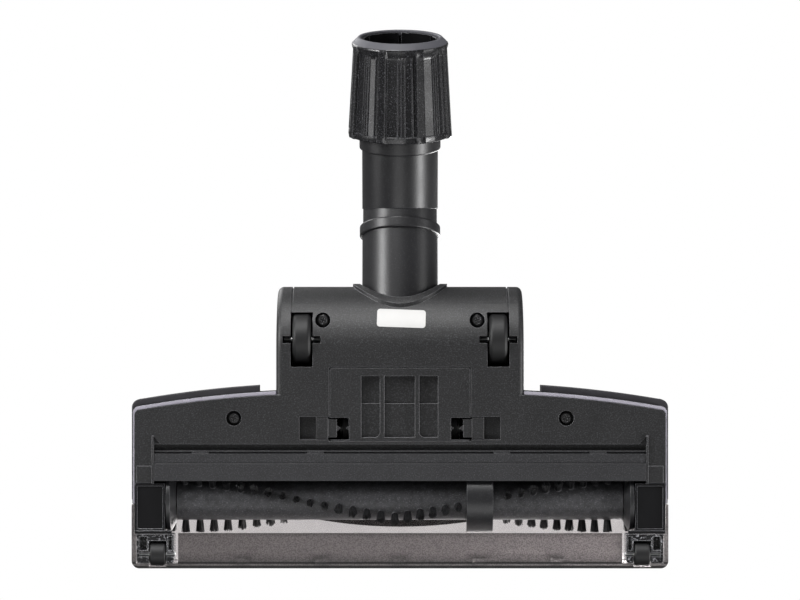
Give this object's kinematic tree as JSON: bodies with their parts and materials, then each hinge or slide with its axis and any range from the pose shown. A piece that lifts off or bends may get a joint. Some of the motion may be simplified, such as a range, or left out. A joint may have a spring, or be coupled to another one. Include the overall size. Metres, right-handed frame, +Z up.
{
  "type": "vacuum cleaner turbo brush nozzle",
  "caption": "Air-driven turbo brush floor nozzle with belt-driven bristle roll, clear front hood, rear wheels and a tilting, swivelling neck with a ribbed clamp nut for a vacuum tube.",
  "frame": {"origin": "bottom centre of the whole object, on the floor under wheels and rollers", "axes": "+Z up, -Y towards the clear front hood, +Y along the neck, X across the nozzle"},
  "size_m": [0.28, 0.2856, 0.0777],
  "materials": {
    "black_abs_textured": "fine moulded texture, matt",
    "black_abs_satin": "smooth satin",
    "black_abs_gloss": "polished mould, glossy",
    "nut_gloss_black": "glossy with grip ribs",
    "clear_pc": "clear, lightly smoked",
    "zinc_steel": "dark zinc plate",
    "bright_steel": "ground",
    "label_paper": "blank gloss sticker",
    "brush_black_pp": "dry, slightly grainy",
    "belt_rubber": "matt",
    "bumper_rubber": "soft satin",
    "wheel_soft_black": "soft, matt",
    "turbine_plastic": "smooth",
    "black_nylon": "stiff filament",
    "bearing_bronze": "sintered"
  },
  "bodies": {
    "housing": {"base_plate": "black_abs_textured", "top_shell": "black_abs_textured", "clear_hood": "clear_pc", "bumper_left": "bumper_rubber", "bumper_right": "bumper_rubber", "skirt_left": "clear_pc", "skirt_right": "clear_pc", "sole_bar": "black_abs_satin", "brush_tunnel": "black_abs_satin", "housing_screws": "zinc_steel", "blank_label": "label_paper", "end_block_left": "black_abs_textured", "end_block_right": "black_abs_textured", "roller_pocket_left": "black_abs_gloss", "roller_pocket_right": "black_abs_gloss", "front_axle_left": "bright_steel", "front_axle_right": "bright_steel", "rear_axle_left": "bright_steel", "rear_axle_right": "bright_steel", "brush_bearing_left": "bearing_bronze", "brush_bearing_right": "bearing_bronze", "bearing_cap_left": "black_abs_satin", "bearing_cap_right": "black_abs_satin", "drive_belt": "belt_rubber", "belt_guard": "black_abs_gloss", "turbine_chamber_lower": "black_abs_satin", "turbine_chamber_upper": "black_abs_satin", "turbine_bearing_left": "bright_steel", "turbine_bearing_right": "bright_steel", "pivot_block_left": "black_abs_satin", "pivot_block_right": "black_abs_satin"},
    "neck": {"neck_barrel": "black_abs_satin", "swivel_ring": "black_abs_satin"},
    "elbow": {"neck_elbow": "black_abs_satin", "collar_ring": "black_abs_satin", "clamp_sleeve": "black_abs_gloss"},
    "nut": {"adaptor_nut": "nut_gloss_black"},
    "brush": {"brush_core": "brush_black_pp", "brush_shaft": "bright_steel", "brush_pulley": "brush_black_pp", "bristle_tufts": "black_nylon", "end_tufts": "black_nylon"},
    "turbine": {"turbine_wheel": "turbine_plastic", "turbine_shaft": "bright_steel", "turbine_pulley": "bright_steel"},
    "wheel_left": {"rear_wheel_left": "wheel_soft_black"},
    "wheel_right": {"rear_wheel_right": "wheel_soft_black"},
    "roller_left": {"front_roller_left": "wheel_soft_black"},
    "roller_right": {"front_roller_right": "wheel_soft_black"},
    "catch_left": {"latch_left": "black_abs_gloss"},
    "catch_right": {"latch_right": "black_abs_gloss"},
    "hatch": {"service_hatch": "black_abs_textured"}
  },
  "joints": [
    {"name": "neck_tilt", "type": "hinge", "parent": "housing", "child": "neck", "pos_m": [0, -0.03029, 0.037], "axis": [1, 0, 0], "range_deg": [0, 46]},
    {"name": "neck_swivel", "type": "hinge", "parent": "neck", "child": "elbow", "pos_m": [0, 0.02779, 0.05202], "axis": [0, 0.9681, 0.2504], "continuous": true},
    {"name": "nut_turn", "type": "hinge", "parent": "elbow", "child": "nut", "pos_m": [0, 0.1037, 0.04095], "axis": [0, 0.965, -0.2622], "range_deg": [0, 270]},
    {"name": "brush_spin", "type": "hinge", "parent": "housing", "child": "brush", "pos_m": [0, -0.1079, 0.018], "axis": [1, 0, 0], "continuous": true},
    {"name": "turbine_spin", "type": "hinge", "parent": "housing", "child": "turbine", "pos_m": [0, -0.07129, 0.032], "axis": [1, 0, 0], "continuous": true},
    {"name": "wheel_left_spin", "type": "hinge", "parent": "housing", "child": "wheel_left", "pos_m": [0.0512, -0.02389, 0.0134], "axis": [1, 0, 0], "continuous": true},
    {"name": "roller_left_spin", "type": "hinge", "parent": "housing", "child": "roller_left", "pos_m": [0.126, -0.1357, 0.006], "axis": [1, 0, 0], "continuous": true},
    {"name": "latch_left_slide", "type": "slide", "parent": "housing", "child": "catch_left", "axis": [1, 0, 0], "range_m": [0, 0.007]},
    {"name": "wheel_right_spin", "type": "hinge", "parent": "housing", "child": "wheel_right", "pos_m": [-0.0512, -0.02389, 0.0134], "axis": [1, 0, 0], "continuous": true},
    {"name": "roller_right_spin", "type": "hinge", "parent": "housing", "child": "roller_right", "pos_m": [-0.126, -0.1357, 0.006], "axis": [1, 0, 0], "continuous": true},
    {"name": "latch_right_slide", "type": "slide", "parent": "housing", "child": "catch_right", "axis": [-1, 0, 0], "range_m": [0, 0.007]},
    {"name": "hatch_lift", "type": "slide", "parent": "housing", "child": "hatch", "axis": [0, 0, -1], "range_m": [0, 0.012]}
  ],
  "couplings": [
    {"joint": "turbine_spin", "follows": "brush_spin", "ratio": 2}
  ]
}
